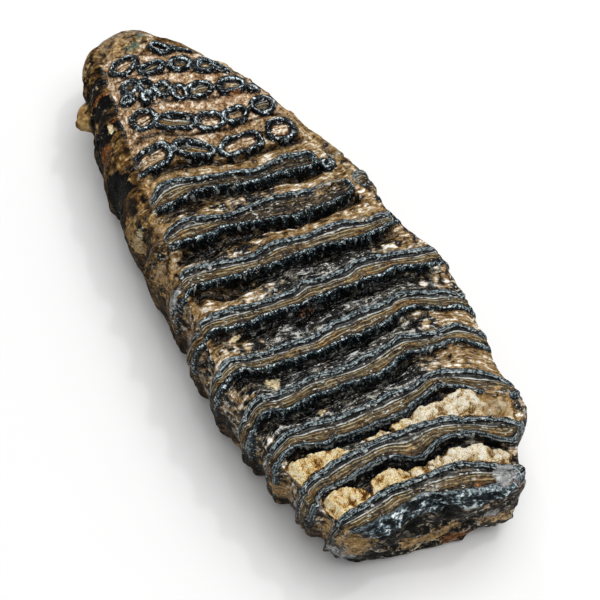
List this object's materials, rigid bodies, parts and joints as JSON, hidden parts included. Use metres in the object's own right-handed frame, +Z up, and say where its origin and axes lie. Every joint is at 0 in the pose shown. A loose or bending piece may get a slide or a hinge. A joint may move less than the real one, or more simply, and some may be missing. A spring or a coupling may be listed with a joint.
{
  "type": "fossil mammoth tooth",
  "caption": "Fossil mammoth molar lying crown up: a long tapering block with ridged enamel plates, ribbed sides, a rounded narrow end and a broken broad end.",
  "frame": {"origin": "centre of the bounding box in X and Y, on the surface that the tooth rests on", "axes": "+Z up out of the chewing face, +X along the tooth from its narrow rounded end to its broad broken end, +Y across the tooth"},
  "size_m": [0.19, 0.0786, 0.0415],
  "materials": {
    "fossil_molar": "blue-black glossy enamel ridges, golden brown striated dentine, rough dark and tan cement, cream sand in the hollows"
  },
  "bodies": {
    "root": {"mammoth_molar": "fossil_molar"}
  },
  "joints": []
}
